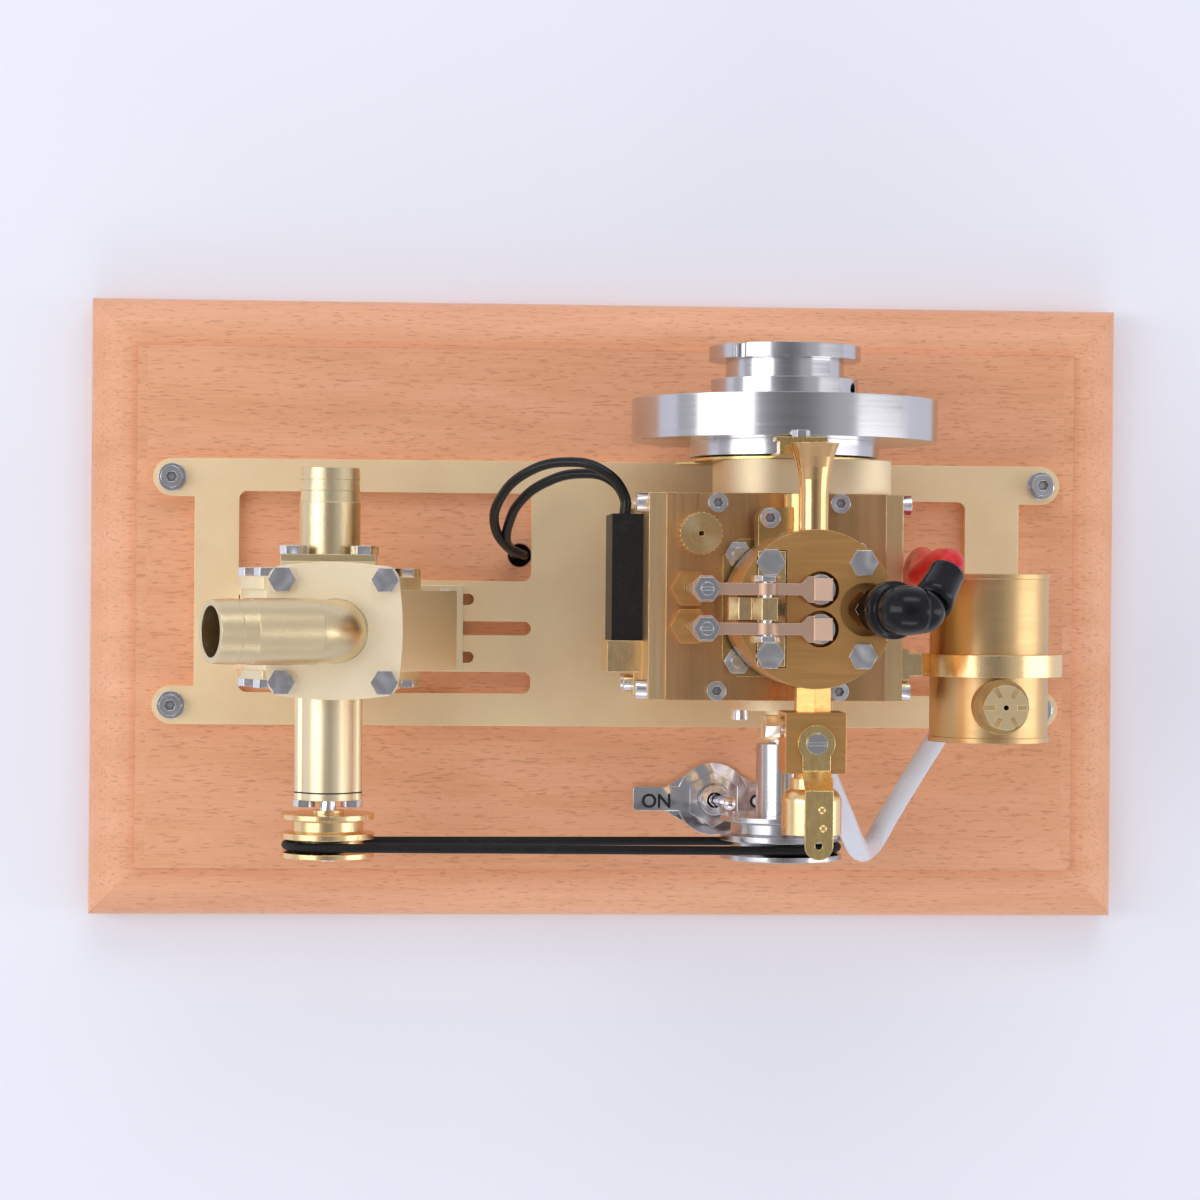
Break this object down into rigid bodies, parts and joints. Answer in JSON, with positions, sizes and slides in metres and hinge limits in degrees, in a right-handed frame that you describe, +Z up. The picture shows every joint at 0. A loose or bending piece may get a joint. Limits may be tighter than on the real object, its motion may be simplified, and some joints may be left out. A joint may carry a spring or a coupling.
{
  "type": "miniature gasoline engine with water pump",
  "caption": "Desk-size four-stroke overhead-valve gasoline engine on a moulded wooden base, driving a centrifugal water pump by a round belt.",
  "frame": {"origin": "centre of the footprint at the underside of the wooden base", "axes": "+X from the pump to the engine and tank, along the base; +Y towards the flywheel; +Z up. The crank, cam and pump axes lie along Y"},
  "size_m": [0.26, 0.155, 0.1359],
  "materials": {
    "beech": "oiled beech, satin",
    "blasted_brass": "fine bead-blasted brass, matt",
    "machined_brass": "milled and turned brass, semi-bright",
    "pale_brass": "cast brass, fine blasted and lacquered",
    "polished_brass": "polished yellow brass",
    "copper_brass": "red brass, machined",
    "stainless": "stainless screws and turned steel",
    "aluminium": "turned aluminium, brushed rings",
    "black_rubber": "black rubber and black moulded covers",
    "red_lead": "red silicone lead",
    "hose": "soft milky fuel hose",
    "module": "black moulded box"
  },
  "bodies": {
    "frame": {"wood_base": "beech", "base_plate": "blasted_brass", "base_screws": "stainless", "crankcase": "machined_brass", "side_covers": "machined_brass", "top_cover": "machined_brass", "case_screws": "stainless", "bearing_cap": "blasted_brass", "main_bearings": "stainless", "rear_housing": "blasted_brass", "cylinder_barrel": "machined_brass", "cylinder_head": "machined_brass", "cylinder_fasteners": "stainless", "spark_plug": "stainless", "exhaust_pipe": "polished_brass", "rocker_stand": "polished_brass", "rocker_shaft": "stainless", "pushrod_guides": "machined_brass", "carburettor": "machined_brass", "air_horn": "polished_brass", "fuel_tank": "machined_brass", "tank_clamp": "polished_brass", "fuel_line": "hose", "ignition_module": "module", "module_clamp": "polished_brass", "signal_wires": "black_rubber", "plug_boot": "black_rubber", "ht_lead": "red_lead", "switch_plate": "stainless", "toggle_switch": "stainless", "pump_casing": "pale_brass", "pump_cover": "pale_brass", "pump_bolts": "stainless", "outlet_elbow": "pale_brass", "inlet_pipe": "pale_brass", "pump_bearing_housing": "pale_brass", "drive_belt": "black_rubber", "spring_exhaust": "stainless", "spring_intake": "stainless"},
    "crank": {"crankshaft": "stainless", "flywheel": "aluminium", "starter_pulley": "aluminium", "drive_pulley": "aluminium"},
    "cam": {"camshaft": "stainless"},
    "piston": {"piston": "aluminium"},
    "con_rod": {"con_rod": "machined_brass"},
    "rocker_exhaust": {"rocker_exhaust": "copper_brass"},
    "rocker_intake": {"rocker_intake": "copper_brass"},
    "pushrod_exhaust": {"pushrod_exhaust": "stainless"},
    "pushrod_intake": {"pushrod_intake": "stainless"},
    "valve_exhaust": {"valve_exhaust": "stainless"},
    "valve_intake": {"valve_intake": "stainless"},
    "throttle": {"throttle_lever": "polished_brass"},
    "needle": {"needle_valve": "stainless"},
    "toggle": {"toggle_lever": "stainless"},
    "tank_cap": {"tank_cap": "polished_brass"},
    "oil_cap": {"oil_cap": "polished_brass"},
    "timing_plate": {"timing_plate": "polished_brass"},
    "pump": {"pump_rotor": "stainless", "pump_pulley": "polished_brass"}
  },
  "joints": [
    {"name": "crank_spin", "type": "hinge", "parent": "frame", "child": "crank", "pos_m": [0.039, 0, 0.058], "axis": [0, 1, 0], "continuous": true},
    {"name": "cam_spin", "type": "hinge", "parent": "frame", "child": "cam", "pos_m": [0.0215, 0, 0.058], "axis": [0, 1, 0], "continuous": true},
    {"name": "pump_spin", "type": "hinge", "parent": "frame", "child": "pump", "pos_m": [-0.0684, 0, 0.058], "axis": [0, 1, 0], "continuous": true},
    {"name": "piston_slide", "type": "slide", "parent": "frame", "child": "piston", "axis": [0, 0, 1], "range_m": [-0.015, 0]},
    {"name": "rod_hinge", "type": "hinge", "parent": "piston", "child": "con_rod", "pos_m": [0.039, 0.0014, 0.091], "axis": [0, 1, 0], "range_deg": [-17.1, 17.1]},
    {"name": "valve_exhaust_lift", "type": "slide", "parent": "frame", "child": "valve_exhaust", "axis": [0, 0, -1], "range_m": [0, 0.0014], "stiffness_N_per_m": 300, "springref_m": -0.002, "deforming": ["spring_exhaust"]},
    {"name": "valve_intake_lift", "type": "slide", "parent": "frame", "child": "valve_intake", "axis": [0, 0, -1], "range_m": [0, 0.0014], "stiffness_N_per_m": 300, "springref_m": -0.002, "deforming": ["spring_intake"]},
    {"name": "rocker_exhaust_tilt", "type": "hinge", "parent": "frame", "child": "rocker_exhaust", "pos_m": [0.028, 0.0057, 0.121], "axis": [0, 1, 0], "range_deg": [0, 6.4]},
    {"name": "rocker_intake_tilt", "type": "hinge", "parent": "frame", "child": "rocker_intake", "pos_m": [0.028, -0.0029, 0.121], "axis": [0, 1, 0], "range_deg": [0, 6.4]},
    {"name": "pushrod_exhaust_lift", "type": "slide", "parent": "frame", "child": "pushrod_exhaust", "axis": [0, 0, 1], "range_m": [0, 0.0015]},
    {"name": "pushrod_intake_lift", "type": "slide", "parent": "frame", "child": "pushrod_intake", "axis": [0, 0, 1], "range_m": [0, 0.0015]},
    {"name": "throttle_turn", "type": "hinge", "parent": "frame", "child": "throttle", "pos_m": [0.04, -0.0281, 0.1055], "axis": [0, 0, 1], "range_deg": [-30, 50]},
    {"name": "needle_turn", "type": "hinge", "parent": "frame", "child": "needle", "pos_m": [0.0333, -0.0246, 0.1055], "axis": [-1, 0, 0], "range_deg": [0, 720]},
    {"name": "toggle_flip", "type": "hinge", "parent": "frame", "child": "toggle", "pos_m": [0.0266, -0.0471, 0.0224], "axis": [0, 1, 0], "range_deg": [-25, 0]},
    {"name": "tank_cap_lift", "type": "slide", "parent": "frame", "child": "tank_cap", "axis": [0, 0, 1], "range_m": [0, 0.01]},
    {"name": "oil_cap_lift", "type": "slide", "parent": "frame", "child": "oil_cap", "axis": [0, 0, 1], "range_m": [0, 0.01]},
    {"name": "timing_turn", "type": "hinge", "parent": "frame", "child": "timing_plate", "pos_m": [0.039, 0, 0.058], "axis": [0, 1, 0], "range_deg": [-8, 8]}
  ],
  "couplings": [
    {"joint": "cam_spin", "follows": "crank_spin", "ratio": -0.5},
    {"joint": "pump_spin", "follows": "crank_spin", "ratio": 1.3571},
    {"joint": "rocker_exhaust_tilt", "follows": "valve_exhaust_lift", "rad_per_m": 79.7},
    {"joint": "rocker_intake_tilt", "follows": "valve_intake_lift", "rad_per_m": 79.7},
    {"joint": "pushrod_exhaust_lift", "follows": "valve_exhaust_lift", "ratio": 1.07},
    {"joint": "pushrod_intake_lift", "follows": "valve_intake_lift", "ratio": 1.07}
  ]
}
